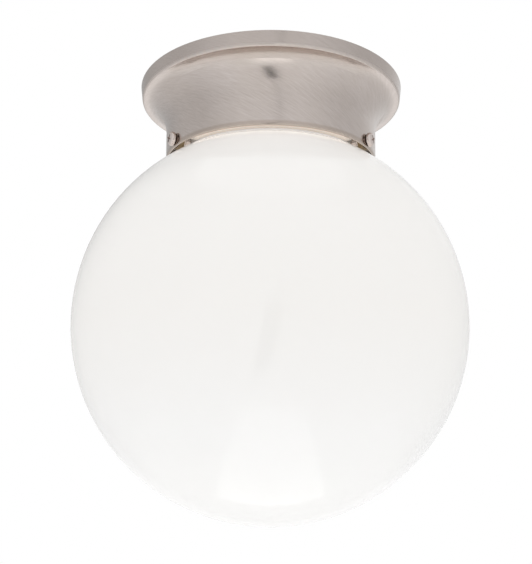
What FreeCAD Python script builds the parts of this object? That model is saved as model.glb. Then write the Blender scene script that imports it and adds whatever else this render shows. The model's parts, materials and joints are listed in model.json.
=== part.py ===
import FreeCAD, Part
import math
import os

import Sketcher
from FreeCAD import Placement, Rotation, Vector

# A ceiling light with an opal glass globe. The origin is the centre of the canopy's rim, in the
# plane of the ceiling. +Z points up and -Y towards the person who looks at the light.
SIZES = {
    # Canopy, pressed from one sheet: band, crease, cove and neck
    "canopy_sheet": 0.8,
    "band_height": 6.8,
    "band_inset": 0.6,
    "crease_round": 1.1,
    "ledge_width": 0.3,
    "cove_high_radius": 8.1,
    "cove_low_radius": 19.0,
    "cove_turn": 45.0,
    "neck_radius": 55.2,
    "neck_depth": 38.1,
    "neck_curl": 1.2,
    "neck_flange": 4.2,
    # Screws that hold the globe, and the nuts welded inside the neck for them
    "fitter_screw_rise": 3.6,
    "fitter_hole_radius": 2.9,
    "small_thread_radius": 1.75,
    "small_head_radius": 3.43,
    "small_head_height": 2.2,
    "fitter_screw_length": 9.525,
    "fine_pitch": 0.794,
    "groove_depth": 0.3,
    "tip_chamfer": 0.9,
    "thread_clearance": 0.04,
    "nut_flats": 7.94,
    "nut_thickness": 2.78,
    "weld_gap": 0.03,
    # Opal glass globe: sphere, shoulder, waist and lip
    "globe_radius": 101.6,
    "glass_wall": 3.0,
    "waist_height": 2.85,
    "shoulder_start": 55.0,
    "shoulder_radius": 28.0,
    "waist_radius": 46.5,
    "waist_fillet": 2.4,
    "lip_clearance": 4.4,
    "lip_height": 5.5,
    "lip_fillet": 0.8,
    "lip_round": 1.5,
    "lip_mouth": 44.5,
    "lip_seat_gap": 0.15,
    "tip_gap": 0.25,
    # White lamp plate, spot welded into the top of the neck
    "plate_sheet": 0.8,
    "plate_flange": 5.5,
    "plate_bend": 1.2,
    "plate_fit": 0.05,
    "fixing_clearance": 0.2,
    "plate_rise": 3.9,
    "keyhole_circle": 44.45,
    "keyhole_half_width": 2.35,
    "keyhole_head_radius": 4.7,
    "twist_angle": 14.0,
    # Insulation pad on the lamp plate
    "pad_edge_gap": 4.4,
    "pad_thickness": 6.0,
    "pad_hole_radius": 27.5,
    "pad_gap": 0.1,
    "pad_clearance": 0.8,
    # Bushing for the leads in the lamp plate
    "bushing_place": 34.5,
    "bushing_bore": 4.2,
    "bushing_wall": 1.3,
    "bushing_flange": 7.4,
    "bushing_lip": 1.2,
    "bushing_barrel": 2.4,
    # Round bracket on the ceiling box, and its screws
    "bracket_radius": 50.0,
    "bracket_sheet": 1.6,
    "wire_hole_radius": 19.05,
    "box_slot_spacing": 79.4,
    "box_slot_length": 14.8,
    "box_slot_radius": 2.4,
    "large_thread_radius": 2.08,
    "large_head_radius": 3.9,
    "large_head_height": 2.4,
    "hanging_tip_gap": 0.55,
    "head_gap": 0.1,
    "ground_place": 33.0,
    "ground_thread_radius": 2.4,
    "ground_washer_radius": 5.2,
    "ground_washer": 0.9,
    "ground_flats": 8.0,
    "ground_head": 3.0,
    "ground_tip_gap": 0.2,
    "ground_pad_gap": 1.1,
    # Porcelain lampholder
    "socket_height": 37.0,
    "socket_flange_radius": 26.0,
    "socket_flange_height": 9.0,
    "barrel_radius": 18.6,
    "barrel_mouth_radius": 17.4,
    "barrel_mouth_round": 1.2,
    "cavity_gap": 0.1,
    "terminal_roof": 5.0,
    "terminal_width": 9.0,
    "terminal_sheet": 0.8,
    "terminal_notch_width": 11.0,
    "terminal_reach": 24.5,
    "terminal_screw_place": 22.0,
    "terminal_head_radius": 3.1,
    "terminal_head_height": 1.9,
    "terminal_screw_radius": 1.7,
    "terminal_screw_length": 4.6,
    "terminal_fit": 0.1,
    "socket_screw_place": 22.2,
    "socket_screw_length": 15.0,
    # Screw shell and centre contact of the lampholder
    "shell_wall": 0.9,
    "shell_groove": 0.45,
    "shell_top": 7.4,
    "shell_length": 27.0,
    "shell_collar": 2.4,
    "shell_sheet": 0.5,
    "contact_height": 4.6,
    "contact_radius": 4.6,
    "contact_rivet_radius": 2.1,
    "contact_leaf": 0.9,
    # Light bulb
    "bulb_thread_pitch": 3.629,
    "bulb_thread_clearance": 0.15,
    "bulb_tip_gap": 0.1,
    "cap_radius": 13.1,
    "cap_wall": 0.5,
    "cap_length": 21.5,
    "cap_groove": 0.4,
    "cap_cone_height": 2.0,
    "cap_cone_radius": 10.6,
    "tip_radius": 4.7,
    "tip_height": 1.6,
    "insulator_height": 2.5,
    "insulator_depth": 2.4,
    "bulb_radius": 30.0,
    "bulb_length": 111.0,
    "bulb_wall": 0.8,
    "bulb_neck_radius": 12.3,
    "bulb_neck_straight": 1.8,
    "bulb_neck_reach": 5.5,
    "stem_radius": 5.0,
    "stem_wall": 1.0,
    "stem_length": 30.0,
    "stem_flare": 3.0,
    "filament_spread": 3.8,
    "filament_drop": 17.0,
    "filament_wire": 0.3,
    "filament_coil": 0.5,
    # How far a cutting tool runs past the face it cuts
    "overrun": 1.0,
}

# Where the screws stand round the light, in degrees from +X; three share the neck evenly
FULL_TURN = 360.0
REAR_ANGLE = 90.0
FITTER_ANGLES = {
    "left": REAR_ANGLE + FULL_TURN / 3,
    "right": REAR_ANGLE + FULL_TURN * 2 / 3,
    "rear": REAR_ANGLE,
}
# How far the notch in the neck's flange runs round at each of them
NOTCH_TURN = 28.0
HANGING_ANGLES = (90.0, 270.0)
GROUND_ANGLE = 45.0

# How much of the pitch a thread's groove takes
GROOVE_SHARE = 0.8

# Shares of a pan head: where its dome starts and ends, and the size of its cross recess
HEAD_SHARES = {"wall": 0.4, "top": 0.5, "dome": 0.55, "arm": 0.56, "slot": 0.11, "depth": 0.55}

doc = FreeCAD.newDocument("ceiling_light")
sheet = doc.addObject("Spreadsheet::Sheet", "Sizes")
nodes = []


class Size:
    """A number, with the expression on the sheet that gives it."""

    def __init__(self, value, text):
        self.value = value
        self.text = text

    def __add__(self, other):
        other = plain(other)
        return Size(self.value + other.value, f"({self.text} + {other.text})")

    def __sub__(self, other):
        other = plain(other)
        return Size(self.value - other.value, f"({self.text} - {other.text})")

    def __mul__(self, other):
        other = plain(other)
        return Size(self.value * other.value, f"({self.text} * {other.text})")

    def __truediv__(self, other):
        other = plain(other)
        return Size(self.value / other.value, f"({self.text} / {other.text})")

    def __neg__(self):
        return ZERO - self


def plain(number):
    if isinstance(number, Size):
        return number
    return Size(float(number), repr(float(number)))


def square_root(size):
    return Size(math.sqrt(size.value), f"sqrt({size.text})")


def cosine(angle):
    angle = plain(angle)
    return Size(math.cos(math.radians(angle.value)), f"cos({angle.text} * 1 deg)")


def sine(angle):
    angle = plain(angle)
    return Size(math.sin(math.radians(angle.value)), f"sin({angle.text} * 1 deg)")


ZERO = Size(0.0, "0")


def fill_sheet():
    for row, (name, value) in enumerate(SIZES.items(), start=1):
        sheet.set(f"A{row}", name)
        sheet.set(f"B{row}", str(value))
        sheet.setAlias(f"B{row}", name)
    doc.recompute()


def size(name):
    return Size(float(sheet.get(name)), f"Sizes.{name}")


def bind(thing, **sizes):
    for name, value in sizes.items():
        thing.setExpression(name, plain(value).text)
    return thing


def place(thing, x=ZERO, y=ZERO, z=ZERO, rotation=None):
    """Puts a sub-part at named distances from the origin."""
    thing.Placement = Placement(Vector(x.value, y.value, z.value), rotation or Rotation())
    thing.setExpression("Placement.Base.x", x.text)
    thing.setExpression("Placement.Base.y", y.text)
    thing.setExpression("Placement.Base.z", z.text)
    return thing


def outward(angle):
    """The rotation that turns +Z to the direction at an angle round the light."""
    turned = math.radians(angle)
    return Rotation(Vector(0, 0, 1), Vector(math.cos(turned), math.sin(turned), 0))


def keep(thing, label):
    thing.Label = label
    nodes.append(thing)
    return thing


# Sketches


def new_body(name):
    return doc.addObject("PartDesign::Body", name)


def new_sketch(body, plane, name, lift=None):
    sketch = body.newObject("Sketcher::SketchObject", name)
    found = [one for one in body.Origin.OriginFeatures if one.Role == plane]
    sketch.AttachmentSupport = [(found[0], "")]
    sketch.MapMode = "FlatFace"
    if lift is not None:
        sketch.setExpression("AttachmentOffset.Base.z", lift.text)
    return sketch


def line_to(x, y):
    return (x, y, None, 0)


def arc_to(x, y, radius, turn):
    """An arc of under half a circle; turn is 1 for anticlockwise and -1 for clockwise."""
    return (x, y, radius, turn)


def arc_between(start, end, radius, turn):
    chord = end - start
    middle = (start + end) * 0.5
    rise = math.sqrt(max(radius * radius - chord.Length * chord.Length / 4, 0))
    side = Vector(-chord.y, chord.x, 0).normalize() * turn
    centre = middle + side * rise
    crown = centre - side * radius
    return Part.Arc(start, crown, end)


def fix_place(sketch, edge, end, x, y):
    """Ties a point of the sketch to its named distances from the sketch's axes."""
    for axis, kind, distance in ((-2, "DistanceX", x), (-1, "DistanceY", y)):
        if distance.text == "0":
            sketch.addConstraint(Sketcher.Constraint("PointOnObject", edge, end, axis))
            continue
        tied = sketch.addConstraint(
            Sketcher.Constraint(kind, -1, 1, edge, end, distance.value))
        sketch.setExpression(f"Constraints[{tied}]", distance.text)


def outline(sketch, *corners):
    """Draws a closed outline; each corner says how the line that leads to it runs."""
    edges = []
    for index, (x, y, radius, turn) in enumerate(corners):
        before = corners[index - 1]
        start = Vector(before[0].value, before[1].value, 0)
        end = Vector(x.value, y.value, 0)
        curve = arc_between(start, end, radius.value, turn) if turn else Part.LineSegment(start, end)
        edges.append((sketch.addGeometry(curve, False), turn))
    for index, (x, y, radius, turn) in enumerate(corners):
        edge, _ = edges[index]
        after, after_turn = edges[(index + 1) % len(edges)]
        # An arc is stored anticlockwise, so a clockwise one begins at its second end
        last = 1 if turn < 0 else 2
        first = 2 if after_turn < 0 else 1
        sketch.addConstraint(Sketcher.Constraint("Coincident", edge, last, after, first))
        fix_place(sketch, edge, last, x, y)
        if turn:
            tied = sketch.addConstraint(Sketcher.Constraint("Radius", edge, radius.value))
            sketch.setExpression(f"Constraints[{tied}]", radius.text)


def circle(sketch, x, y, radius):
    ring = Part.Circle(Vector(x.value, y.value, 0), Vector(0, 0, 1), radius.value)
    edge = sketch.addGeometry(ring, False)
    fix_place(sketch, edge, 3, x, y)
    tied = sketch.addConstraint(Sketcher.Constraint("Radius", edge, radius.value))
    sketch.setExpression(f"Constraints[{tied}]", radius.text)


def rounded_slot(sketch, x, y, half_length, radius):
    """A slot along X with round ends, each end drawn as two quarter circles."""
    straight = half_length - radius
    outline(
        sketch,
        line_to(x + straight, y - radius),
        arc_to(x + half_length, y, radius, 1),
        arc_to(x + straight, y + radius, radius, 1),
        line_to(x - straight, y + radius),
        arc_to(x - half_length, y, radius, 1),
        arc_to(x - straight, y - radius, radius, 1),
    )


# Features


def revolve(body, name, *corners):
    sketch = new_sketch(body, "XZ_Plane", f"{name}_profile")
    outline(sketch, *corners)
    turned = body.newObject("PartDesign::Revolution", f"{name}_turned")
    turned.Profile = sketch
    turned.ReferenceAxis = (sketch, ["V_Axis"])
    turned.Angle = FULL_TURN
    doc.recompute()
    return turned


def turned_body(label, *corners):
    body = new_body(label)
    revolve(body, label, *corners)
    return keep(body, label)


def pad(body, name, thickness, draw):
    sketch = new_sketch(body, "XY_Plane", f"{name}_outline")
    draw(sketch)
    raised = body.newObject("PartDesign::Pad", f"{name}_pad")
    raised.Profile = sketch
    bind(raised, Length=thickness)
    doc.recompute()
    return raised


def cut_down(body, name, top, depth, draw):
    """Cuts a pocket downwards from a height, and checks that it took something away."""
    before = body.Shape.Volume
    sketch = new_sketch(body, "XY_Plane", f"{name}_outline", lift=top)
    draw(sketch)
    pocket = body.newObject("PartDesign::Pocket", f"{name}_pocket")
    pocket.Profile = sketch
    bind(pocket, Length=depth)
    doc.recompute()
    if body.Shape.Volume >= before:
        raise RuntimeError(f"{name} cuts nothing")
    return pocket


def cut_rings(body, name, face, root, height, pitch, count):
    """Cuts the thread's grooves as rings between two radii, the first at a height, going down."""
    before = body.Shape.Volume
    half = pitch * 0.5 * GROOVE_SHARE
    sketch = new_sketch(body, "XZ_Plane", f"{name}_section")
    outline(sketch, line_to(face, height + half), line_to(root, height), line_to(face, height - half))
    groove = body.newObject("PartDesign::Groove", f"{name}_groove")
    groove.Profile = sketch
    groove.ReferenceAxis = (sketch, ["V_Axis"])
    groove.Angle = FULL_TURN
    doc.recompute()
    rings = body.newObject("PartDesign::LinearPattern", f"{name}_rings")
    rings.Originals = [groove]
    rings.Direction = (sketch, ["V_Axis"])
    rings.Reversed = True
    rings.Occurrences = count
    bind(rings, Length=pitch * (count - 1))
    body.Tip = rings
    doc.recompute()
    if body.Shape.Volume >= before:
        raise RuntimeError(f"{name} cuts nothing")


def cylinder(name, radius, height, z=ZERO, x=ZERO, y=ZERO, rotation=None, angle=None):
    solid = doc.addObject("Part::Cylinder", name)
    bind(solid, Radius=radius, Height=height)
    if angle is not None:
        bind(solid, Angle=angle)
    return place(solid, x, y, z, rotation)


def box(name, width, depth, height, x, y, z):
    """A box that is centred on Y at y; x and z are its lowest corner."""
    solid = doc.addObject("Part::Box", name)
    bind(solid, Length=width, Width=depth, Height=height)
    return place(solid, x, y - depth * 0.5, z)


def fuse(name, parts):
    joined = doc.addObject("Part::MultiFuse", name)
    joined.Shapes = parts
    return joined


def cut(name, base, tools):
    """Takes tools away from a piece, and checks that something went."""
    tool = tools[0]
    if len(tools) > 1:
        tool = fuse(f"{name}_tools", tools)
    left = doc.addObject("Part::Cut", name)
    left.Base = base
    left.Tool = tool
    doc.recompute()
    if left.Shape.Volume >= base.Shape.Volume:
        raise RuntimeError(f"{name} cuts nothing")
    return left


def group(label, parts):
    together = doc.addObject("Part::Compound", label)
    together.Links = parts
    return keep(together, label)


# Fasteners


def pan_screw(name, radius, head_radius, head_height, length, pitch):
    """A pan head screw with a cross recess. Its axis is Z, the underside of its head at zero."""
    body = new_body(name)
    tip = size("tip_chamfer")
    wall = head_height * HEAD_SHARES["wall"]
    flat = head_radius * HEAD_SHARES["top"]
    revolve(
        body, name,
        line_to(ZERO, -length),
        line_to(radius - tip, -length),
        line_to(radius, tip - length),
        line_to(radius, ZERO),
        line_to(head_radius, ZERO),
        line_to(head_radius, wall),
        arc_to(flat, head_height, head_radius * HEAD_SHARES["dome"], 1),
        line_to(ZERO, head_height),
    )
    grooves = int((length.value - 3 * tip.value) / pitch.value)
    cut_rings(body, name, radius + size("overrun"), radius - size("groove_depth"),
              -tip, pitch, grooves)
    arm = head_radius * HEAD_SHARES["arm"]
    slot = head_radius * HEAD_SHARES["slot"]
    cut_down(body, f"{name}_recess", head_height, head_height * HEAD_SHARES["depth"],
             lambda sketch: cross(sketch, arm, slot))
    return body


def cross(sketch, arm, slot):
    outline(
        sketch,
        line_to(arm, -slot), line_to(arm, slot), line_to(slot, slot),
        line_to(slot, arm), line_to(-slot, arm), line_to(-slot, slot),
        line_to(-arm, slot), line_to(-arm, -slot), line_to(-slot, -slot),
        line_to(-slot, -arm), line_to(slot, -arm), line_to(slot, -slot),
    )


def hex_prism(name, flats, height, z=ZERO, x=ZERO, y=ZERO, rotation=None):
    solid = doc.addObject("Part::Prism", name)
    solid.Polygon = 6
    bind(solid, Circumradius=flats / square_root(plain(3)), Height=height)
    return place(solid, x, y, z, rotation)


def nut(name, x, y, z, rotation=None):
    """A hex nut whose lower face is at the place given, before it is turned."""
    thickness = size("nut_thickness")
    bore = size("small_thread_radius") + size("thread_clearance")
    blank = hex_prism(f"{name}_blank", size("nut_flats"), thickness, z, x, y, rotation)
    hole = cylinder(f"{name}_bore", bore, thickness, z, x, y, rotation)
    return cut(name, blank, [hole])


# Canopy and what is welded into it


def canopy_shell():
    """The cove is two arcs, a wide one that springs from the neck and a tight one under the ledge;
    the neck's lower edge is curled in to a narrow flange, which is notched at the nuts."""
    skin = size("canopy_sheet")
    band = size("band_height")
    bend = size("crease_round")
    high = size("cove_high_radius")
    low = size("cove_low_radius")
    turn = size("cove_turn")
    neck = size("neck_radius")
    curl = size("neck_curl")
    bottom = -size("neck_depth")
    join_x = neck + low - low * cosine(turn)
    join_z = cove_end() + low * sine(turn)
    ledge = join_x + high * cosine(turn)
    crease = ledge + size("ledge_width") + bend
    radius = crease + size("band_inset")
    flange = neck - size("neck_flange")
    shell = new_body("canopy_sheet_metal")
    revolve(
        shell, "canopy",
        line_to(radius, ZERO),
        line_to(radius - skin, ZERO),
        line_to(crease - skin, bend - band),
        arc_to(crease - bend, skin - band, bend - skin, -1),
        line_to(ledge, skin - band),
        arc_to(join_x - skin * cosine(turn), join_z + skin * sine(turn), high + skin, 1),
        arc_to(neck - skin, cove_end(), low + skin, 1),
        line_to(neck - skin, bottom + curl),
        arc_to(neck - curl, bottom + skin, curl - skin, -1),
        line_to(flange, bottom + skin),
        line_to(flange, bottom),
        line_to(neck - curl, bottom),
        arc_to(neck, bottom + curl, curl, 1),
        line_to(neck, cove_end()),
        arc_to(join_x, join_z, low, -1),
        arc_to(ledge, -band, high, -1),
        line_to(crease - bend, -band),
        arc_to(crease, bend - band, bend, 1),
    )
    tools = []
    for side, angle in FITTER_ANGLES.items():
        tools.append(cylinder(
            f"fitter_hole_{side}", size("fitter_hole_radius"), skin + size("overrun") * 2,
            fitter_height(), around(neck - skin - size("overrun"), angle, cosine),
            around(neck - skin - size("overrun"), angle, sine), outward(angle)))
        tools.append(cylinder(
            f"flange_notch_{side}", neck_inside(), curl + size("overrun"),
            bottom - size("overrun"), angle=NOTCH_TURN,
            rotation=Rotation(Vector(0, 0, 1), angle - NOTCH_TURN / 2)))
    return keep(cut("canopy_shell", shell, tools), "canopy_shell")


def cove_end():
    """Where the cove becomes the neck."""
    turn = size("cove_turn")
    high = size("cove_high_radius")
    return high * sine(turn) - high - size("band_height") - size("cove_low_radius") * sine(turn)


def neck_inside():
    return size("neck_radius") - size("canopy_sheet")


def around(distance, angle, way):
    return distance * way(angle)


def fitter_height():
    return size("fitter_screw_rise") - size("neck_depth")


def weld_nuts():
    """The nuts stand with two flats level, their corners just clear of the neck's round wall."""
    corner = size("nut_flats") / square_root(plain(3))
    wall = neck_inside() - size("weld_gap")
    face = square_root(wall * wall - corner * corner)
    inner = face - size("nut_thickness")
    nuts = []
    for side, angle in FITTER_ANGLES.items():
        nuts.append(nut(
            f"weld_nut_{side}", around(inner, angle, cosine), around(inner, angle, sine),
            fitter_height(), level_outward(angle)))
    group("weld_nuts", nuts)


def level_outward(angle):
    """Turns +Z outwards and +X level, so that a hex nut has its corners at its sides."""
    turned = math.radians(angle)
    level = Vector(-math.sin(turned), math.cos(turned), 0)
    out = Vector(math.cos(turned), math.sin(turned), 0)
    return Rotation(level, Vector(0, 0, 1), out, "ZXY")


def fitter_screws():
    out = size("waist_radius") + size("tip_gap") + size("fitter_screw_length")
    for side, angle in FITTER_ANGLES.items():
        label = f"retaining_screw_{side}"
        screw = pan_screw(label, size("small_thread_radius"), size("small_head_radius"),
                          size("small_head_height"), size("fitter_screw_length"),
                          size("fine_pitch"))
        place(screw, around(out, angle, cosine), around(out, angle, sine), fitter_height(),
              outward(angle))
        keep(screw, label)


def plate_top():
    """The lamp plate stands in the cove, with its flange down in the top of the neck."""
    return cove_end() + size("plate_rise")


def plate_underside():
    return plate_top() - size("plate_sheet")


def lamp_plate():
    top = plate_top()
    under = plate_underside()
    skin = size("plate_sheet")
    bend = size("plate_bend")
    rim = neck_inside() - size("plate_fit")
    bottom = top - size("plate_flange")
    blank = new_body("lamp_plate_blank")
    revolve(
        blank, "lamp_plate",
        line_to(ZERO, top),
        line_to(ZERO, under),
        line_to(rim - bend, under),
        arc_to(rim - skin, top - bend, bend - skin, -1),
        line_to(rim - skin, bottom),
        line_to(rim, bottom),
        line_to(rim, top - bend),
        arc_to(rim - bend, top, bend, 1),
    )
    depth = skin + size("overrun") * 2
    low = under - size("overrun")
    tools = twist_slots("plate", size("keyhole_half_width"), size("keyhole_head_radius"), low,
                        depth)
    tools.append(cylinder("bushing_hole", bushing_outside() + size("plate_fit"), depth, low,
                          x=size("bushing_place")))
    hole = size("small_thread_radius") + size("fixing_clearance")
    for side in (1, -1):
        tools.append(cylinder(f"socket_screw_hole_{side + 1}", hole, depth, low,
                              y=size("socket_screw_place") * side))
    keep(cut("lamp_plate", blank, tools), "lamp_plate")


def twist_slots(name, half_width, head_radius, low, depth):
    """Keyholes along a circle: narrow where the screw hangs, and round where its head passes."""
    ring = size("keyhole_circle")
    sweep = size("twist_angle")
    tools = []
    for index, angle in enumerate(HANGING_ANGLES):
        turned = Rotation(Vector(0, 0, 1), angle)
        outer = cylinder(f"{name}_slot_outer_{index}", ring + half_width, depth, low,
                         rotation=turned, angle=sweep)
        inner = cylinder(f"{name}_slot_inner_{index}", ring - half_width, depth, low)
        tools.append(cut(f"{name}_slot_{index}", outer, [inner]))
        tools.append(cylinder(f"{name}_slot_end_{index}", half_width, depth, low,
                              around(ring, angle, cosine), around(ring, angle, sine)))
        open_end = sweep + angle
        tools.append(cylinder(f"{name}_slot_head_{index}", head_radius, depth, low,
                              around(ring, open_end, cosine), around(ring, open_end, sine)))
    return tools


def pad_underside():
    return plate_top() + size("pad_gap")


def insulation_pad():
    low = pad_underside()
    thick = size("pad_thickness")
    pad_body = new_body("pad_blank")
    pad(pad_body, "pad", thick, lambda sketch: ring_sketch(
        sketch, neck_inside() - size("pad_edge_gap"), size("pad_hole_radius")))
    place(pad_body, z=low)
    depth = thick + size("overrun") * 2
    start = low - size("overrun")
    wide = size("keyhole_head_radius")
    tools = twist_slots("pad", wide, wide, start, depth)
    tools.append(cylinder("pad_bushing_hole", bushing_outside() + size("pad_clearance"), depth,
                          start, x=size("bushing_place")))
    keep(cut("insulation_pad", pad_body, tools), "insulation_pad")


def ring_sketch(sketch, outer, inner):
    circle(sketch, ZERO, ZERO, outer)
    circle(sketch, ZERO, ZERO, inner)


def bushing_outside():
    return size("bushing_bore") + size("bushing_wall")


def lead_bushing():
    """Flanged under the lamp plate, with a barrel through it that snaps over its upper face."""
    under = plate_underside()
    outside = bushing_outside()
    bore = size("bushing_bore")
    flange = size("bushing_flange")
    top = plate_top() + size("bushing_barrel")
    low = under - size("bushing_lip")
    bushing = turned_body(
        "lead_bushing",
        line_to(bore, top),
        line_to(bore, low),
        line_to(flange, low),
        line_to(flange, under),
        line_to(outside, under),
        line_to(outside, top),
    )
    place(bushing, x=size("bushing_place"))


# Bracket on the ceiling box


def mounting_plate():
    body = new_body("mounting_plate")
    pad(body, "mounting_plate", size("bracket_sheet"), mounting_outline)
    place(body, z=-size("bracket_sheet"))
    keep(body, "mounting_plate")


def mounting_outline(sketch):
    ring_sketch(sketch, size("bracket_radius"), size("wire_hole_radius"))
    for side in (1, -1):
        rounded_slot(sketch, size("box_slot_spacing") * 0.5 * side, ZERO,
                     size("box_slot_length") * 0.5, size("box_slot_radius"))
    tapped = size("large_thread_radius") + size("thread_clearance")
    for angle in HANGING_ANGLES:
        circle(sketch, ZERO, hanging_place(angle), tapped)
    ground = size("ground_place")
    circle(sketch, around(ground, GROUND_ANGLE, cosine), around(ground, GROUND_ANGLE, sine),
           size("ground_thread_radius") + size("thread_clearance"))


def hanging_place(angle):
    """The hanging screws stand on the Y axis, one at the rear and one in front."""
    return size("keyhole_circle") * round(math.sin(math.radians(angle)))


def hanging_screws():
    """Their heads hang below the lamp plate, in the narrow ends of its keyholes, and their tips
    stop short of the ceiling."""
    upside_down = Rotation(Vector(1, 0, 0), 180)
    head = plate_underside() - size("head_gap")
    length = -head - size("hanging_tip_gap")
    screws = []
    for index, angle in enumerate(HANGING_ANGLES):
        screw = pan_screw(f"hanging_screw_{index}", size("large_thread_radius"),
                          size("large_head_radius"), size("large_head_height"), length,
                          size("fine_pitch"))
        place(screw, ZERO, hanging_place(angle), head, upside_down)
        screws.append(screw)
    group("hanging_screws", screws)


def ground_screw():
    """A hex head screw for the earth wire, backed out so that the wire goes under its head."""
    x = around(size("ground_place"), GROUND_ANGLE, cosine)
    y = around(size("ground_place"), GROUND_ANGLE, sine)
    low = pad_underside() + size("pad_thickness") + size("ground_pad_gap")
    washer_low = low + size("ground_head")
    shank_low = washer_low + size("ground_washer")
    hexagon = hex_prism("ground_hexagon", size("ground_flats"), size("ground_head"), low, x, y)
    washer = cylinder("ground_washer_face", size("ground_washer_radius"), size("ground_washer"),
                      washer_low, x, y)
    shank = cylinder("ground_shank", size("ground_thread_radius"),
                     -shank_low - size("ground_tip_gap"), shank_low, x, y)
    keep(fuse("ground_screw", [shank, washer, hexagon]), "ground_screw")


# Opal globe


def lip_underside():
    """The lip rests on the three screws."""
    return fitter_height() + size("small_thread_radius") + size("lip_seat_gap")


def glass_line(inset):
    """The sphere, shoulder and waist of the globe, set in by the glass's thickness or by zero."""
    sphere = size("globe_radius")
    start = size("shoulder_start")
    rise = square_root(sphere * sphere - start * start)
    bend = size("shoulder_radius")
    # The shoulder's arc leaves the sphere without a kink, so its centre is on the same radius
    share = (sphere - bend) / sphere
    bend_x = start * share
    waist = size("waist_radius") - inset
    fillet = size("waist_fillet") + inset
    fillet_x = size("waist_radius") + size("waist_fillet")
    reach = bend + size("waist_fillet")
    across = fillet_x - bend_x
    up = square_root(reach * reach - across * across)
    # Down from the lip: the straight waist, the shoulder, and the sphere's centre below them
    fillet_z = lip_underside() - size("waist_height")
    bend_z = fillet_z - up
    centre = bend_z - rise * share
    inner_bend = bend - inset
    touch = inner_bend / reach
    grow = (sphere - inset) / sphere
    return {
        "pole": centre - sphere + inset,
        "sphere": sphere - inset,
        "start": (start * grow, centre + rise * grow),
        "bend": inner_bend,
        "touch": (bend_x + across * touch, bend_z + up * touch),
        "fillet": fillet,
        "waist": (waist, fillet_z),
    }


def globe():
    outer = glass_line(ZERO)
    inner = glass_line(size("glass_wall"))
    under = lip_underside()
    lip = neck_inside() - size("lip_clearance")
    top = under + size("lip_height")
    soft = size("lip_round")
    hollow = size("lip_fillet")
    turned_body(
        "globe",
        line_to(ZERO, outer["pole"]),
        arc_to(*outer["start"], outer["sphere"], 1),
        arc_to(*outer["touch"], outer["bend"], 1),
        arc_to(*outer["waist"], outer["fillet"], -1),
        line_to(outer["waist"][0], under - hollow),
        arc_to(outer["waist"][0] + hollow, under, hollow, -1),
        line_to(lip - soft, under),
        arc_to(lip, under + soft, soft, 1),
        line_to(lip, top - soft),
        arc_to(lip - soft, top, soft, 1),
        line_to(size("lip_mouth"), top),
        line_to(inner["waist"][0], under),
        line_to(*inner["waist"]),
        arc_to(*inner["touch"], inner["fillet"], 1),
        arc_to(*inner["start"], inner["bend"], -1),
        arc_to(ZERO, inner["pole"], inner["sphere"], -1),
    )


# Lampholder


def cavity_floor():
    return plate_underside() - size("terminal_roof")


def shell_inside():
    return size("cap_radius") + size("bulb_thread_clearance")


def shell_outside():
    return shell_inside() + size("shell_wall")


def socket_mouth():
    return plate_underside() - size("socket_height")


def socket_body():
    """Porcelain, with a notch at each side for a terminal and a slot for the terminal's strip."""
    top = plate_underside()
    floor = cavity_floor()
    mouth = socket_mouth()
    flange = size("socket_flange_radius")
    low = top - size("socket_flange_height")
    hollow = shell_outside() + size("cavity_gap")
    soft = size("barrel_mouth_round")
    blank = new_body("socket_blank")
    revolve(
        blank, "socket",
        line_to(ZERO, top),
        line_to(ZERO, floor),
        line_to(hollow, floor),
        line_to(hollow, mouth),
        line_to(size("barrel_mouth_radius") - soft, mouth),
        arc_to(size("barrel_mouth_radius"), mouth + soft, soft, 1),
        line_to(size("barrel_radius"), low),
        line_to(flange, low),
        line_to(flange, top),
    )
    run = size("overrun")
    strip = size("terminal_sheet") + size("terminal_fit")
    wide = size("terminal_notch_width")
    fit = size("terminal_fit") * 2
    tools = []
    for name, side in (("line", 1), ("neutral", -1)):
        start = size("barrel_radius") if side > 0 else -(flange + run)
        tools.append(box(f"{name}_notch", flange + run - size("barrel_radius"), wide,
                         floor - low + run, start, ZERO, low - run))
        slot_start = ZERO if side > 0 else -(size("barrel_radius") + run)
        tools.append(box(f"{name}_slot", size("barrel_radius") + run,
                         size("terminal_width") + fit, strip, slot_start, ZERO, floor - strip))
        tools.append(cylinder(
            f"{name}_thread_hole", size("terminal_screw_radius") + size("terminal_fit"),
            size("terminal_screw_length") + size("terminal_fit") * 2, floor - strip,
            x=size("terminal_screw_place") * side))
    hole = size("small_thread_radius") + size("fixing_clearance")
    for side in (1, -1):
        tools.append(cylinder(f"socket_fixing_hole_{side + 1}", hole,
                              size("socket_flange_height") + run * 2, low - run,
                              y=size("socket_screw_place") * side))
    keep(cut("socket_body", blank, tools), "socket_body")


def terminals():
    """The line terminal carries the centre contact, and the neutral one stands on the shell."""
    floor = cavity_floor()
    skin = size("terminal_sheet")
    width = size("terminal_width")
    reach = size("terminal_reach")
    start = -size("contact_radius")
    line = box("line_strip", reach - start, width, skin, start, ZERO, floor - skin)
    edge = shell_outside()
    inner = edge - size("shell_collar")
    neutral = box("neutral_strip", reach - inner, width, skin, -reach, ZERO, floor - skin)
    shell_height = plate_underside() - size("shell_top")
    foot_height = floor - skin - shell_height
    foot_width = width * 0.5
    foot_start = square_root(edge * edge - foot_width * foot_width * 0.25)
    foot = box("neutral_foot", foot_start - inner, foot_width, foot_height, -foot_start, ZERO,
               shell_height)
    neutral = fuse("neutral_bar", [neutral, foot])
    for name, strip, side in (("line", line, 1), ("neutral", neutral, -1)):
        hole = cylinder(f"{name}_terminal_hole",
                        size("terminal_screw_radius") + size("terminal_fit") * 0.5,
                        skin + size("overrun") * 2, floor - skin - size("overrun"),
                        x=size("terminal_screw_place") * side)
        keep(cut(f"{name}_terminal", strip, [hole]), f"{name}_terminal")


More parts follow.
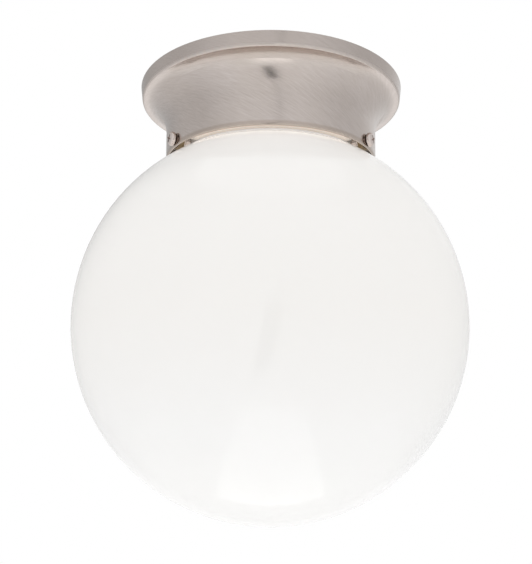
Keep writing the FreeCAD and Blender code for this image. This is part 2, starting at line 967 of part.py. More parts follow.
def terminal_screws():
    under = cavity_floor() - size("terminal_sheet")
    for name, side in (("line", 1), ("neutral", -1)):
        label = f"{name}_terminal_screw"
        head = cylinder(f"{label}_head", size("terminal_head_radius"),
                        size("terminal_head_height"), under - size("terminal_head_height"),
                        x=size("terminal_screw_place") * side)
        shank = cylinder(f"{label}_shank", size("terminal_screw_radius"),
                         size("terminal_screw_length"), under,
                         x=size("terminal_screw_place") * side)
        half = size("terminal_head_radius") + size("overrun")
        slot = box(f"{label}_slot", half * 2, size("terminal_sheet"),
                   size("terminal_head_height") * 0.5,
                   size("terminal_screw_place") * side - half, ZERO,
                   under - size("terminal_head_height"))
        keep(cut(label, fuse(f"{label}_blank", [head, shank]), [slot]), label)


def socket_fixings():
    """Two screws hold the lampholder under the lamp plate, with nuts on top of the plate."""
    under = plate_underside() - size("socket_flange_height")
    upside_down = Rotation(Vector(1, 0, 0), 180)
    screws = []
    nuts = []
    for index, side in enumerate((1, -1)):
        y = size("socket_screw_place") * side
        screw = pan_screw(f"socket_screw_{index}", size("small_thread_radius"),
                          size("small_head_radius"), size("small_head_height"),
                          size("socket_screw_length"), size("fine_pitch"))
        place(screw, ZERO, y, under, upside_down)
        screws.append(screw)
        nuts.append(nut(f"socket_nut_{index}", ZERO, y, plate_top()))
    group("socket_screws", screws)
    group("socket_nuts", nuts)


def socket_shell():
    """The screw shell, with a collar turned in at its top that the neutral terminal stands on."""
    top = plate_underside() - size("shell_top")
    bottom = top - size("shell_length")
    inside = shell_inside()
    outside = shell_outside()
    collar = outside - size("shell_collar")
    body = new_body("socket_shell")
    revolve(
        body, "socket_shell",
        line_to(collar, top),
        line_to(collar, top - size("shell_sheet")),
        line_to(inside, top - size("shell_sheet")),
        line_to(inside, bottom),
        line_to(outside, bottom),
        line_to(outside, top),
    )
    pitch = size("bulb_thread_pitch")
    cut_rings(body, "shell_thread", inside - size("bulb_thread_clearance"),
              inside + size("shell_groove"), top - pitch, pitch,
              int(size("shell_length").value / pitch.value) - 1)
    keep(body, "socket_shell")


def centre_contact():
    top = cavity_floor() - size("terminal_sheet")
    low = top - size("contact_height")
    leaf = low + size("contact_leaf")
    rivet = size("contact_rivet_radius")
    radius = size("contact_radius")
    turned_body(
        "centre_contact",
        line_to(ZERO, top),
        line_to(ZERO, low),
        line_to(rivet, low),
        line_to(radius, leaf),
        line_to(radius, leaf + size("contact_leaf")),
        line_to(rivet, leaf),
        line_to(rivet, top),
    )


# Light bulb


def bulb_tip():
    return cavity_floor() - size("terminal_sheet") - size("contact_height") - size("bulb_tip_gap")


def cap_start():
    return bulb_tip() - size("tip_height") - size("insulator_height")


def cap_end():
    return cap_start() - size("cap_length")


def bulb_contact():
    top = bulb_tip()
    low = top - size("tip_height")
    edge = size("tip_radius")
    turned_body(
        "bulb_contact",
        line_to(ZERO, top),
        line_to(ZERO, low),
        line_to(edge, low),
        arc_to(edge * 0.5, top, edge, 1),
    )


def bulb_insulator():
    top = bulb_tip() - size("tip_height")
    seat = cap_start()
    edge = size("cap_cone_radius") - size("bulb_tip_gap")
    turned_body(
        "bulb_insulator",
        line_to(ZERO, top),
        line_to(ZERO, seat - size("insulator_depth")),
        line_to(edge, seat - size("insulator_depth")),
        line_to(edge, seat),
        line_to(size("tip_radius"), top),
    )


def bulb_cap():
    top = cap_start()
    bottom = cap_end()
    radius = size("cap_radius")
    skin = size("cap_wall")
    cone = size("cap_cone_radius")
    wall = top - size("cap_cone_height")
    body = new_body("bulb_cap")
    revolve(
        body, "bulb_cap",
        line_to(cone, top),
        line_to(cone, top - skin),
        line_to(radius - skin, wall - skin),
        line_to(radius - skin, bottom),
        line_to(radius, bottom),
        line_to(radius, wall),
    )
    pitch = size("bulb_thread_pitch")
    cut_rings(body, "cap_thread", radius + size("overrun"), radius - size("cap_groove"),
              wall - pitch * 0.5, pitch, int(size("cap_length").value / pitch.value) - 1)
    keep(body, "bulb_cap")


def bulb_line(inset):
    """The round end of the bulb and the long hollow curve that leads to its neck."""
    radius = size("bulb_radius")
    neck = size("bulb_neck_radius")
    centre = bulb_tip() - size("bulb_length") + radius
    up = cap_end() - size("bulb_neck_straight") - centre
    # The hollow curve touches both the round end and the straight neck
    blend = (up * up + neck * neck - radius * radius) / ((radius - neck) * 2)
    reach = radius + blend
    across = neck + blend
    touch = (radius - inset) / reach
    return {
        "pole": centre - radius + inset,
        "round": radius - inset,
        "touch": (across * touch, centre + up * touch),
        "blend": blend + inset,
        "neck": (neck - inset, centre + up),
    }


def bulb_glass():
    outer = bulb_line(ZERO)
    inner = bulb_line(size("bulb_wall"))
    top = cap_end() + size("bulb_neck_reach")
    turned_body(
        "bulb_glass",
        line_to(ZERO, outer["pole"]),
        arc_to(*outer["touch"], outer["round"], 1),
        arc_to(*outer["neck"], outer["blend"], -1),
        line_to(outer["neck"][0], top),
        line_to(inner["neck"][0], top),
        line_to(*inner["neck"]),
        arc_to(*inner["touch"], inner["blend"], 1),
        arc_to(ZERO, inner["pole"], inner["round"], -1),
    )


def bulb_stem():
    """The glass stem that carries the filament, flared out to the bulb's neck."""
    top = cap_end() + size("bulb_neck_reach")
    edge = size("bulb_neck_radius") - size("bulb_wall") - size("terminal_fit")
    radius = size("stem_radius")
    wall = size("stem_wall")
    flare = top - size("stem_flare")
    low = top - size("stem_length")
    turned_body(
        "bulb_stem",
        line_to(ZERO, low + wall * 2),
        line_to(ZERO, low),
        line_to(radius, low),
        line_to(radius, flare),
        line_to(edge, top),
        line_to(edge - wall, top),
        line_to(radius - wall, flare),
        line_to(radius - wall, low + wall * 2),
    )


def bulb_filament():
    """Two lead wires from the stem's end and the coil that hangs across them."""
    start = cap_end() + size("bulb_neck_reach") - size("stem_length")
    drop = size("filament_drop")
    spread = size("filament_spread")
    wires = []
    for side in (1, -1):
        wires.append(cylinder(f"filament_lead_{side + 1}", size("filament_wire"), drop,
                              start - drop, x=spread * side))
    coil = cylinder("filament_coil_bar", size("filament_coil"), spread * 2, start - drop,
                    x=-spread, rotation=Rotation(Vector(0, 1, 0), 90))
    keep(fuse("bulb_filament", wires + [coil]), "bulb_filament")


def check_and_write():
    doc.recompute()
    for thing in doc.Objects:
        if "Invalid" in thing.State or "Error" in thing.State:
            raise RuntimeError(f"{thing.Name} failed: {thing.State}")
    for node in nodes:
        if node.Shape.isNull() or not node.Shape.isValid():
            raise RuntimeError(f"{node.Label} has no valid shape")
    os.makedirs("parts", exist_ok=True)
    for node in nodes:
        node.Shape.exportStep(f"parts/{node.Label}.step")
        print(node.Label, len(node.Shape.Solids), round(node.Shape.Volume, 1))


fill_sheet()
mounting_plate()
hanging_screws()
ground_screw()
canopy_shell()
weld_nuts()
lamp_plate()
insulation_pad()
lead_bushing()
socket_body()
socket_shell()
terminals()
terminal_screws()
centre_contact()
socket_fixings()
bulb_contact()
bulb_insulator()
bulb_cap()
bulb_glass()
bulb_stem()
bulb_filament()
globe()
fitter_screws()
check_and_write()
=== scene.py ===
import json
import math

import bmesh
import bpy
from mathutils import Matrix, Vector, noise

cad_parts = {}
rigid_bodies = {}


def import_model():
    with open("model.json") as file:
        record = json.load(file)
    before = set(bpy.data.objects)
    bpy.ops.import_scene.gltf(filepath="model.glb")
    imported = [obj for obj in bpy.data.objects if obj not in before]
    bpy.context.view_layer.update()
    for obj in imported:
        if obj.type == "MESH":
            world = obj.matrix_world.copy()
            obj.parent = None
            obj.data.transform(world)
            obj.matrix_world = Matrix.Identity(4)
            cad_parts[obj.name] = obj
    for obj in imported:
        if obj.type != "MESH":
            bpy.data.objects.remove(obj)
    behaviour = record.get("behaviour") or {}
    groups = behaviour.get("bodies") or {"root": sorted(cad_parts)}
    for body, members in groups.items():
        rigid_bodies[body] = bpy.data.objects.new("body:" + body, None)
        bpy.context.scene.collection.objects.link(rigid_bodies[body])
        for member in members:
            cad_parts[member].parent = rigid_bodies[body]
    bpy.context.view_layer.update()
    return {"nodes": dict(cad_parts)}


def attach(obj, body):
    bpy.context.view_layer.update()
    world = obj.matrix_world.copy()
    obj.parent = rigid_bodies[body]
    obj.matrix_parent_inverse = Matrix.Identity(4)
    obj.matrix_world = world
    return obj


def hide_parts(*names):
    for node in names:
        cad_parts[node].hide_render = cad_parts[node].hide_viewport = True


# A ceiling light with an opal glass globe, seen from a little below, on a white ground.
# Lengths are in metres, in the light's own frame: +Z up, -Y towards the viewer.

# The photograph's frame, and the lens and place that give its view
PHOTO_WIDTH = 532
PHOTO_HEIGHT = 564
SENSOR = 36.0
FOCAL_PIXELS = 797.3
CAMERA_PLACE = Vector((-0.0017, -0.415, -0.18779))
CAMERA_PITCH = 3.86
CAMERA_ROLL = -0.3
CAMERA_SHIFT = 0.2
CAMERA_CLIP = (0.01, 20.0)

MILLIMETRE = 0.001


def clear_scene():
    for thing in list(bpy.data.objects):
        bpy.data.objects.remove(thing)


clear_scene()
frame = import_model()


# Materials


class Finish:
    """A material, its shader, and short ways to work detail into it."""

    def __init__(self, name, colour, roughness, **sockets):
        self.material = bpy.data.materials.new(name)
        self.material.use_nodes = True
        self.tree = self.material.node_tree
        self.shader = self.tree.nodes["Principled BSDF"]
        self.shader.inputs["Base Color"].default_value = (*colour, 1.0)
        self.shader.inputs["Roughness"].default_value = roughness
        for socket, value in sockets.items():
            self.shader.inputs[socket.replace("_", " ")].default_value = value

    def node(self, kind, inputs=None, **settings):
        """Adds a node; inputs are values or the sockets that feed it."""
        made = self.tree.nodes.new(kind)
        for name, value in settings.items():
            setattr(made, name, value)
        for name, value in (inputs or {}).items():
            self.feed(made.inputs[name], value)
        return made

    def feed(self, socket, value):
        if isinstance(value, bpy.types.NodeSocket):
            self.tree.links.new(value, socket)
        else:
            socket.default_value = value

    def place(self):
        return self.node("ShaderNodeTexCoord").outputs["Object"]

    def math(self, operation, first, second=0.0):
        both = {0: first, 1: second}
        return self.node("ShaderNodeMath", both, operation=operation).outputs[0]

    def grain(self, size, vector=None, detail=2.0, distortion=0.0):
        """Noise from 0 to 1 with spots of about a given size."""
        inputs = {"Vector": vector or self.place(), "Scale": 1.0 / size, "Detail": detail,
                  "Distortion": distortion}
        return self.node("ShaderNodeTexNoise", inputs).outputs["Fac"]

    def cells(self, size):
        inputs = {"Vector": self.place(), "Scale": 1.0 / size}
        return self.node("ShaderNodeTexVoronoi", inputs).outputs["Color"]

    def stretch(self, factor, low, high, start=0.0, end=1.0):
        """Maps a factor between start and end to a value between low and high."""
        inputs = {"Value": factor, "From Min": start, "From Max": end,
                  "To Min": low, "To Max": high}
        return self.node("ShaderNodeMapRange", inputs).outputs["Result"]

    def blend(self, factor, first, second):
        """Mixes two colours, each a colour or a socket."""
        mix = self.node("ShaderNodeMix", data_type="RGBA")
        self.feed(mix.inputs["Factor"], factor)
        for socket, colour in ((mix.inputs[6], first), (mix.inputs[7], second)):
            is_socket = isinstance(colour, bpy.types.NodeSocket)
            self.feed(socket, colour if is_socket else (*colour, 1.0))
        return mix.outputs[2]

    def paint(self, factor, first, second):
        self.feed(self.shader.inputs["Base Color"], self.blend(factor, first, second))
        return self

    def dull(self, factor, low, high):
        self.feed(self.shader.inputs["Roughness"], self.stretch(factor, low, high))
        return self

    def bump(self, height, depth, strength=1.0):
        """Raises the surface by a depth where height is 1; calls add up."""
        before = self.shader.inputs["Normal"].links
        inputs = {"Height": height, "Distance": depth, "Strength": strength}
        if before:
            inputs["Normal"] = before[0].from_socket
        raised = self.node("ShaderNodeBump", inputs)
        self.feed(self.shader.inputs["Normal"], raised.outputs["Normal"])
        return self


NECK_RADIUS = 55.2 * MILLIMETRE
BRUSH_LEAN = 31.0
# Heights between which the nickel's tone or gloss changes: at the top rim, darkened by painted
# shade; on both sides of the crease; and above and below the neck's curled lower edge, with
# painted shade on the curl and painted light on the flange below it
RIM_EDGE = (-0.0062, -0.0054)
CREASE_EDGES = ((-0.0068, -0.0066), (-0.006, -0.005))
CURL_EDGES = ((-0.0364, -0.0354), (-0.0381, -0.03805))


def brush_lines(finish, width, length, lean):
    """Noise drawn out along a helix round Z; lean is the turn per metre, in radians."""
    parts = finish.node("ShaderNodeSeparateXYZ", {"Vector": finish.place()})
    flat = finish.node("ShaderNodeCombineXYZ", {"X": parts.outputs["X"], "Y": parts.outputs["Y"]})
    radius = finish.node("ShaderNodeVectorMath", {0: flat.outputs[0]}, operation="LENGTH")
    ring = finish.node("ShaderNodeVectorMath", {0: flat.outputs[0]}, operation="NORMALIZE")
    # This grows all the way from the rim to the neck's lower edge
    inward = finish.math("SUBTRACT", 0.0, radius.outputs["Value"])
    along = finish.math("SUBTRACT", inward, parts.outputs["Z"])
    turned = finish.node(
        "ShaderNodeVectorRotate",
        {"Vector": ring.outputs["Vector"], "Angle": finish.math("MULTIPLY", along, -lean)},
        rotation_type="Z_AXIS")
    wide = finish.node("ShaderNodeVectorMath", {0: turned.outputs["Vector"]}, operation="SCALE")
    wide.inputs["Scale"].default_value = NECK_RADIUS / width
    drawn = finish.node("ShaderNodeCombineXYZ", {"Z": finish.math("DIVIDE", along, length)})
    both = finish.node("ShaderNodeVectorMath", {0: wide.outputs["Vector"], 1: drawn.outputs[0]})
    return finish.grain(1.0, both.outputs["Vector"], detail=3.0)


def brushed_nickel():
    finish = Finish("brushed nickel finish", (0.64, 0.572, 0.54), 0.22, Metallic=1.0)
    fine = brush_lines(finish, 0.45 * MILLIMETRE, 3 * MILLIMETRE, BRUSH_LEAN)
    broad = brush_lines(finish, 1.1 * MILLIMETRE, 7 * MILLIMETRE, BRUSH_LEAN)
    crossing = brush_lines(finish, 0.9 * MILLIMETRE, 12 * MILLIMETRE, -BRUSH_LEAN)
    cloud = finish.grain(26 * MILLIMETRE)
    tone = finish.blend(finish.stretch(cloud, 0.0, 1.0, 0.35, 0.65),
                        (0.63, 0.562, 0.52), (0.655, 0.59, 0.56))
    tone = finish.blend(finish.stretch(broad, 0.0, 0.5), tone, (0.71, 0.645, 0.61))
    tone = finish.blend(finish.stretch(fine, 0.0, 0.7, 0.35, 0.7), tone, (0.535, 0.475, 0.435))
    height = finish.node("ShaderNodeSeparateXYZ", {"Vector": finish.place()}).outputs["Z"]
    # Painted shade: the top rim band is made darker than the rest of the nickel
    tone = finish.blend(finish.stretch(height, 0.0, 0.32, *RIM_EDGE), tone, (0.45, 0.4, 0.37))
    # Painted shade: a dark brown band on the neck's curled lower edge, for the shaded gap under it
    above, below = CURL_EDGES
    curl = finish.math("MULTIPLY", finish.stretch(height, 1.0, 0.0, *above),
                       finish.stretch(height, 0.0, 0.45, *below))
    tone = finish.blend(curl, tone, (0.42, 0.34, 0.27))
    # Painted light: below the curl the nickel turns pale cream, so the flange mirrors the globe
    # brighter
    finish.paint(finish.stretch(height, 0.95, 0.0, *below), tone, (0.93, 0.86, 0.8))
    crease = finish.math("MULTIPLY", finish.stretch(height, 0.0, 0.14, *CREASE_EDGES[0]),
                         finish.stretch(height, 1.0, 0.0, *CREASE_EDGES[1]))
    worn = finish.math("ADD", finish.stretch(fine, 0.17, 0.25), crease)
    finish.feed(finish.shader.inputs["Roughness"], worn)
    finish.bump(fine, 0.008 * MILLIMETRE)
    finish.bump(crossing, 0.006 * MILLIMETRE)
    return finish.material


def nickel_screw():
    finish = Finish("nickel plated screw finish", (0.72, 0.64, 0.6), 0.16, Metallic=1.0)
    wear = finish.grain(0.5 * MILLIMETRE)
    finish.paint(wear, (0.68, 0.6, 0.56), (0.78, 0.7, 0.66))
    finish.dull(wear, 0.1, 0.26)
    finish.bump(finish.grain(0.2 * MILLIMETRE), 0.01 * MILLIMETRE)
    return finish.material


# Painted glow: emission on the glass that stands in for light coming through it where the neck
# shades it: each share and the heights between which it grows to full
PAINTED_GLOW = (
    (0.02, -0.2, -0.1),
    (0.12, -0.058, -0.045),
    (0.06, -0.043, -0.041),
    (0.1, -0.0399, -0.0391),
    (0.2, -0.0386, -0.0382),
    (-0.5, -0.036, -0.035),
)


def opal_glass():
    """White flashed glass, fire polished: very faint waves and wisps under a glossy skin."""
    # The emission colour is the warm tint of the painted glow near the neck
    finish = Finish("opal glass finish", (0.985, 0.965, 0.94), 0.06, IOR=1.5,
                    Subsurface_Weight=0.45, Subsurface_Scale=0.01,
                    Subsurface_Radius=(1.0, 1.0, 1.0), Emission_Color=(1.0, 0.96, 0.92, 1.0))
    wisps = finish.grain(55 * MILLIMETRE, detail=4.0, distortion=0.6)
    height = finish.node("ShaderNodeSeparateXYZ", {"Vector": finish.place()}).outputs["Z"]
    warm = finish.blend(wisps, (0.98, 0.953, 0.915), (0.988, 0.965, 0.93))
    # Painted light: the glass is made whiter and cooler towards the bottom, where the low lamp and
    # the floor light it
    finish.paint(finish.stretch(height, 0.0, 1.0, -0.13, -0.18), warm, (0.988, 0.98, 0.97))
    finish.dull(finish.grain(8 * MILLIMETRE), 0.04, 0.09)
    finish.bump(finish.grain(30 * MILLIMETRE, detail=1.0), 0.05 * MILLIMETRE)
    # Painted glow: emission that grows towards the neck and goes out again above it
    passed = 0.0
    for level, low, high in PAINTED_GLOW:
        passed = finish.math("ADD", passed, finish.stretch(height, 0.0, level, low, high))
    finish.feed(finish.shader.inputs["Emission Strength"], passed)
    return finish.material


def white_enamel():
    finish = Finish("white enamel finish", (0.86, 0.85, 0.82), 0.3)
    finish.paint(finish.grain(12 * MILLIMETRE), (0.83, 0.82, 0.79), (0.88, 0.87, 0.84))
    finish.bump(finish.grain(0.9 * MILLIMETRE), 0.02 * MILLIMETRE)
    return finish.material


def zinc(name, dark, light, spangle):
    """Bright zinc plate with its faint frosted cells."""
    finish = Finish(name, light, 0.35, Metallic=1.0)
    cell = finish.node("ShaderNodeSeparateColor", {"Color": finish.cells(spangle)}).outputs[0]
    worn = finish.grain(5 * spangle, detail=3.0)
    finish.paint(finish.math("MULTIPLY", cell, worn), dark, light)
    finish.dull(cell, 0.26, 0.46)
    finish.bump(finish.grain(0.25 * MILLIMETRE), 0.01 * MILLIMETRE)
    return finish.material


def zinc_plate():
    return zinc("zinc plate finish", (0.66, 0.67, 0.68), (0.5, 0.51, 0.52), 2.4 * MILLIMETRE)


def zinc_screw():
    return zinc("zinc screw finish", (0.72, 0.72, 0.7), (0.56, 0.56, 0.55), 0.7 * MILLIMETRE)


def weld_nut():
    """Plain steel in painted shade: dark browns that stand in for the shadow inside the neck and
    the warm light of the nickel there.
    """
    finish = Finish("weld nut painted shade", (0.3, 0.22, 0.13), 0.35, Metallic=1.0)
    painted_shade_spots = finish.grain(1.5 * MILLIMETRE, detail=3.0)
    # Painted shade: the nut's colour varies between two dark browns
    finish.paint(painted_shade_spots, (0.2, 0.14, 0.08), (0.4, 0.3, 0.18))
    finish.dull(painted_shade_spots, 0.3, 0.5)
    return finish.material


def green_screw():
    finish = Finish("green screw finish", (0.06, 0.32, 0.1), 0.3, Metallic=0.55)
    worn = finish.grain(1.2 * MILLIMETRE, detail=4.0)
    finish.paint(finish.stretch(worn, 0.0, 1.0, 0.5, 0.75), (0.05, 0.3, 0.09), (0.2, 0.42, 0.2))
    finish.dull(worn, 0.22, 0.45)
    return finish.material


def black_nylon():
    finish = Finish("black nylon finish", (0.02, 0.02, 0.02), 0.42)
    finish.paint(finish.grain(4 * MILLIMETRE), (0.015, 0.015, 0.016), (0.035, 0.034, 0.033))
    finish.bump(finish.grain(0.3 * MILLIMETRE), 0.02 * MILLIMETRE)
    return finish.material


def white_porcelain():
    finish = Finish("porcelain finish", (0.84, 0.83, 0.79), 0.12, Coat_Weight=0.4,
                    Coat_Roughness=0.05)
    finish.paint(finish.grain(10 * MILLIMETRE), (0.81, 0.8, 0.755), (0.87, 0.86, 0.83))
    specks = finish.stretch(finish.grain(0.7 * MILLIMETRE), 0.0, 0.35, 0.72, 0.8)
    finish.paint(specks, finish.shader.inputs["Base Color"].links[0].from_socket, (0.4, 0.34, 0.26))
    finish.bump(finish.grain(2.5 * MILLIMETRE), 0.03 * MILLIMETRE)
    return finish.material


def turned_metal(name, dark, light, roughness):
    finish = Finish(name, light, roughness, Metallic=1.0)
    stain = finish.grain(3 * MILLIMETRE, detail=4.0)
    finish.paint(stain, dark, light)
    finish.dull(stain, roughness + 0.1, roughness - 0.05)
    finish.bump(finish.grain(0.15 * MILLIMETRE), 0.008 * MILLIMETRE)
    return finish.material


def socket_brass():
    return turned_metal("brass finish", (0.6, 0.4, 0.16), (0.83, 0.62, 0.3), 0.25)


def plated_terminal():
    return turned_metal("plated brass finish", (0.55, 0.53, 0.5), (0.75, 0.73, 0.7), 0.28)


def bulb_aluminium():
    return turned_metal("aluminium cap finish", (0.6, 0.6, 0.6), (0.8, 0.8, 0.79), 0.3)


def solder_tip():
    return turned_metal("solder finish", (0.4, 0.4, 0.42), (0.62, 0.62, 0.64), 0.35)


def tungsten():
    return turned_metal("tungsten finish", (0.16, 0.16, 0.17), (0.3, 0.3, 0.31), 0.4)


def frosted_glass():
    finish = Finish("frosted glass finish", (0.93, 0.93, 0.92), 0.3, IOR=1.45,
                    Transmission_Weight=0.35)
    finish.paint(finish.grain(14 * MILLIMETRE), (0.9, 0.9, 0.89), (0.94, 0.94, 0.93))
    finish.dull(finish.grain(1.5 * MILLIMETRE), 0.25, 0.4)
    return finish.material


def clear_glass():
    finish = Finish("clear glass finish", (0.98, 0.99, 0.98), 0.02, IOR=1.5,
                    Transmission_Weight=1.0)
    finish.dull(finish.grain(4 * MILLIMETRE), 0.0, 0.05)
    return finish.material


def black_glass():
    finish = Finish("black glass finish", (0.02, 0.018, 0.022), 0.08)
    finish.paint(finish.grain(2 * MILLIMETRE), (0.015, 0.013, 0.018), (0.04, 0.035, 0.045))
    finish.dull(finish.grain(0.8 * MILLIMETRE), 0.04, 0.16)
    return finish.material


def glass_fibre_pad():
    finish = Finish("glass fibre finish", (0.82, 0.76, 0.55), 0.9, Sheen_Weight=0.3)
    place = finish.place()
    drawn = finish.node("ShaderNodeMapping", {"Vector": place, "Scale": (1.0, 0.16, 1.0)})
    crossed = finish.node("ShaderNodeMapping", {"Vector": place, "Scale": (0.16, 1.0, 1.0)})
    fibres = finish.grain(0.35 * MILLIMETRE, drawn.outputs[0], detail=4.0, distortion=0.8)
    others = finish.grain(0.4 * MILLIMETRE, crossed.outputs[0], detail=4.0, distortion=0.8)
    wool = finish.math("MAXIMUM", fibres, others)
    finish.paint(finish.stretch(wool, 0.0, 1.0, 0.4, 0.75), (0.66, 0.58, 0.36), (0.88, 0.83, 0.64))
    finish.bump(wool, 0.25 * MILLIMETRE)
    return finish.material


FINISHES = {
    "zinc_plate": zinc_plate, "zinc_screw": zinc_screw, "green_screw": green_screw,
    "brushed_nickel": brushed_nickel, "white_enamel": white_enamel,
    "glass_fibre_pad": glass_fibre_pad, "black_nylon": black_nylon,
    "white_porcelain": white_porcelain, "socket_brass": socket_brass,
    "plated_terminal": plated_terminal, "frosted_glass": frosted_glass,
    "bulb_aluminium": bulb_aluminium, "black_glass": black_glass, "solder_tip": solder_tip,
    "clear_glass": clear_glass, "tungsten": tungsten, "opal_glass": opal_glass,
    "nickel_screw": nickel_screw,
}


def dress_nodes():
    """Gives each piece the finish that its material slot names, and the weld nuts their own."""
    made = {slot: make() for slot, make in FINISHES.items()}
    for node in frame["nodes"].values():
        for place in node.material_slots:
            place.material = made[place.material.name]
    # The weld nuts get a dark brown painted shade of their own
    for place in frame["nodes"]["weld_nuts"].material_slots:
        place.material = weld_nut()
    return made


# Soft pad over the lamp plate

PAD_VOXEL = 0.9 * MILLIMETRE
PAD_SINK = 0.22 * MILLIMETRE
PAD_TUFT = 0.2 * MILLIMETRE
PAD_TUFT_SIZE = 2.2 * MILLIMETRE
PAD_SMOOTHING = 2


def fibre_pad(finish):
    """The glass fibre blanket: the solid's shape with worn edges and a tufted face."""
    solid = frame["nodes"]["insulation_pad"]
    pad = bpy.data.objects.new("fibre_pad", solid.data.copy())
    bpy.context.scene.collection.objects.link(pad)
    remesh = pad.modifiers.new("voxels", "REMESH")
    remesh.mode = "VOXEL"
    remesh.voxel_size = PAD_VOXEL
    graph = bpy.context.evaluated_depsgraph_get()
    fine = bpy.data.meshes.new_from_object(pad.evaluated_get(graph))
    pad.modifiers.clear()
    pad.data = fine
    shape = bmesh.new()
    shape.from_mesh(fine)
    for _ in range(PAD_SMOOTHING):
        bmesh.ops.smooth_vert(shape, verts=shape.verts, factor=0.5)
    shape.normal_update()
    for vertex in shape.verts:
        tuft = noise.noise(vertex.co / PAD_TUFT_SIZE)
        vertex.co += vertex.normal * (tuft * PAD_TUFT - PAD_SINK)
    for face in shape.faces:
        face.smooth = True
    shape.to_mesh(fine)
    shape.free()
    fine.materials.clear()
    fine.materials.append(finish)
    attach(pad, "canopy")
    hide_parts("insulation_pad")


# Floor, lights and camera

FLOOR_HEIGHT = -0.62
FLOOR_RADIUS = 2.0
FLOOR_FADE = (0.5, 1.6)
FLOOR_SIDES = 96


def pale_floor():
    """A pale round floor below the light that fades into the white ground at its edge."""
    bpy.ops.mesh.primitive_circle_add(vertices=FLOOR_SIDES, radius=FLOOR_RADIUS, fill_type="NGON",
                                      location=(0.0, 0.0, FLOOR_HEIGHT))
    floor = bpy.context.object
    floor.name = "floor"
    finish = Finish("floor finish", (0.86, 0.86, 0.85), 0.7)
    finish.paint(finish.grain(0.05), (0.85, 0.85, 0.84), (0.87, 0.87, 0.86))
    distance = finish.node("ShaderNodeVectorMath", {0: finish.place()}, operation="LENGTH")
    fade = finish.stretch(distance.outputs["Value"], 0.0, 1.0, *FLOOR_FADE)
    glow = finish.node("ShaderNodeEmission", {"Color": (1.0, 1.0, 1.0, 1.0), "Strength": 1.0})
    mix = finish.node("ShaderNodeMixShader", {0: fade})
    finish.feed(mix.inputs[1], finish.shader.outputs[0])
    finish.feed(mix.inputs[2], glow.outputs[0])
    output = finish.tree.nodes["Material Output"]
    finish.feed(output.inputs["Surface"], mix.outputs[0])
    floor.data.materials.append(finish.material)


ROOM_LIGHT = 1.04


def white_room():
    """White where the camera, metal or glass looks, and a plainer level for lighting."""
    world = bpy.data.worlds.new("white room")
    world.use_nodes = True
    bpy.context.scene.world = world
    tree = world.node_tree
    background = tree.nodes["Background"]
    path = tree.nodes.new("ShaderNodeLightPath")
    seen = tree.nodes.new("ShaderNodeMath")
    seen.operation = "MAXIMUM"
    tree.links.new(path.outputs["Is Camera Ray"], seen.inputs[0])
    tree.links.new(path.outputs["Is Glossy Ray"], seen.inputs[1])
    white = tree.nodes.new("ShaderNodeMath")
    white.operation = "MAXIMUM"
    tree.links.new(seen.outputs[0], white.inputs[0])
    tree.links.new(path.outputs["Is Transmission Ray"], white.inputs[1])
    strength = tree.nodes.new("ShaderNodeMapRange")
    tree.links.new(white.outputs[0], strength.inputs["Value"])
    strength.inputs["To Min"].default_value = ROOM_LIGHT
    strength.inputs["To Max"].default_value = 1.0
    background.inputs["Color"].default_value = (1.0, 1.0, 1.0, 1.0)
    tree.links.new(strength.outputs["Result"], background.inputs["Strength"])


# The lamp just above the floor; the globe and the nickel mirror it
SOFTBOX_PLACE = (0.005, -0.135, FLOOR_HEIGHT + 0.02)
SOFTBOX_WIDTH = 0.33
SOFTBOX_DEPTH = 0.66
SOFTBOX_POWER = 0.42


def low_softbox():
    """A soft lamp below the light, facing straight up."""
    lamp = bpy.data.lights.new("low softbox", "AREA")
    lamp.shape = "RECTANGLE"
    lamp.size = SOFTBOX_WIDTH
    lamp.size_y = SOFTBOX_DEPTH
    lamp.energy = SOFTBOX_POWER
    lamp_object = bpy.data.objects.new("low softbox", lamp)
    lamp_object.location = SOFTBOX_PLACE
    lamp_object.rotation_euler = (math.pi, 0.0, 0.0)
    lamp_object.visible_camera = False
    bpy.context.scene.collection.objects.link(lamp_object)


# The walls of the studio, as reflections show them: bright low down, and greyer higher up.
# Heights are slopes seen from the light, and turns are radians from the middle of the front.
WALL_RADIUS = 0.65
WALL_STEP = 5
WALL_HEIGHTS = (-0.93, 1.9)
WALL_FADE = (-2.0, 0.1)
WALL_FRONT = 0.8
WALL_BACK = 0.68
# For each side, its way round and its levels beside the light and further back
WALL_SIDES = ((-1.0, 0.61, 0.48), (1.0, 0.645, 0.77))
WALL_RISE = (-0.1, 0.3)
# Faint spots in the levels: their size and how much they add
WALL_SPOTS = (0.2, 0.02)
SIDE_START = (0.5, 1.3)
SIDE_TURN = (1.8, 2.4)
SIDE_END = (2.8, 3.14)
# Behind the light the wall is bright to above its middle
REAR_TURN = (2.3, 2.8)
REAR_FADE = (-0.15, 0.3)

# The camera's stand, just behind the camera, leaning to the right. Each part has its half
# width, its lowest and highest points and its level.
STAND_SETBACK = 0.02
STAND_LEAN = 0.2
STAND_SPOTS = (0.03, 0.02)
STAND_PARTS = {
    "camera body": (0.032, -0.36, -0.1, 0.03),
    "camera column": (0.008, -0.1, 0.2, 0.5),
    "camera bar": (0.06, 0.19, 0.21, 0.3),
}


def reflected_only(name, corners, finish, strength):
    """A strip of faces with its own light, which only reflections show."""
    mesh = bpy.data.meshes.new(name)
    faces = [(row, row + 1, row + 3, row + 2) for row in range(0, len(corners) - 2, 2)]
    mesh.from_pydata(corners, [], faces)
    piece = bpy.data.objects.new(name, mesh)
    bpy.context.scene.collection.objects.link(piece)
    glow = finish.node("ShaderNodeEmission", {"Color": (1.0, 1.0, 1.0, 1.0), "Strength": strength})
    finish.feed(finish.tree.nodes["Material Output"].inputs["Surface"], glow.outputs[0])
    mesh.materials.append(finish.material)
    piece.visible_camera = False
    piece.visible_diffuse = False
    piece.visible_shadow = False


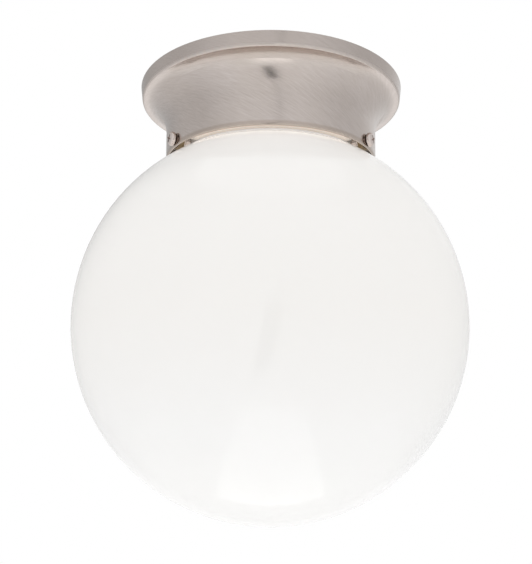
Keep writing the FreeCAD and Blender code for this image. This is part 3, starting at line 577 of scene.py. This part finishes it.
def studio_wall():
    """A round wall; the side that the camera stands on is its front, and +X its right."""
    corners = []
    for azimuth in range(0, 361, WALL_STEP):
        turned = math.radians(azimuth)
        corners += [(WALL_RADIUS * math.sin(turned), -WALL_RADIUS * math.cos(turned),
                     WALL_RADIUS * slope) for slope in WALL_HEIGHTS]
    finish = Finish("studio wall finish", (0.0, 0.0, 0.0), 1.0)
    parts = finish.node("ShaderNodeSeparateXYZ", {"Vector": finish.place()})
    to_front = finish.math("MULTIPLY", parts.outputs["Y"], -1.0)
    turned = finish.math("ARCTAN2", parts.outputs["X"], to_front)
    slope = finish.math("DIVIDE", parts.outputs["Z"], WALL_RADIUS)
    risen = finish.stretch(slope, 0.0, 1.0, *WALL_RISE)
    spot_size, spot_level = WALL_SPOTS
    spots = finish.math("MULTIPLY", finish.grain(spot_size), spot_level)
    level = finish.math("ADD", WALL_FRONT, spots)
    for way, beside, behind in WALL_SIDES:
        aside = finish.math("MULTIPLY", turned, way)
        begun = finish.stretch(aside, 0.0, beside - WALL_FRONT, *SIDE_START)
        passed = finish.stretch(aside, 0.0, behind - beside, *SIDE_TURN)
        ended = finish.stretch(aside, 0.0, WALL_BACK - behind, *SIDE_END)
        for change in (begun, finish.math("MULTIPLY", passed, risen), ended):
            level = finish.math("ADD", level, change)
    rear = finish.math("ABSOLUTE", turned)
    fade = [finish.stretch(rear, ahead, behind, *REAR_TURN)
            for ahead, behind in zip(WALL_FADE, REAR_FADE)]
    shaded = finish.stretch(slope, 0.0, 1.0, *fade)
    lost = finish.math("MULTIPLY", finish.math("SUBTRACT", 1.0, level), shaded)
    reflected_only("studio wall", corners, finish, finish.math("SUBTRACT", 1.0, lost))


def camera_stand():
    across = CAMERA_PLACE.x
    back = CAMERA_PLACE.y - STAND_SETBACK
    spot_size, spot_level = STAND_SPOTS
    for name, (half_width, low, high, level) in STAND_PARTS.items():
        corners = []
        for side in (-1, 1):
            for height in (low, high):
                lean = STAND_LEAN * (height - CAMERA_PLACE.z)
                corners.append((across + side * half_width + lean, back, height))
        finish = Finish(f"{name} finish", (0.0, 0.0, 0.0), 1.0)
        spots = finish.grain(spot_size)
        strength = finish.stretch(spots, level - spot_level, level + spot_level)
        reflected_only(name, corners, finish, strength)


def camera():
    data = bpy.data.cameras.new("camera")
    data.sensor_width = SENSOR
    data.lens = FOCAL_PIXELS * SENSOR / max(PHOTO_WIDTH, PHOTO_HEIGHT)
    data.shift_y = CAMERA_SHIFT
    data.clip_start, data.clip_end = CAMERA_CLIP
    seen_from = bpy.data.objects.new("camera", data)
    seen_from.location = CAMERA_PLACE
    seen_from.rotation_euler = (math.radians(90.0 + CAMERA_PITCH), math.radians(CAMERA_ROLL), 0.0)
    bpy.context.scene.collection.objects.link(seen_from)
    bpy.context.scene.camera = seen_from


finishes = dress_nodes()
fibre_pad(finishes["glass_fibre_pad"])
pale_floor()
white_room()
studio_wall()
camera_stand()
low_softbox()
camera()
bpy.context.scene.view_settings.view_transform = "Standard"
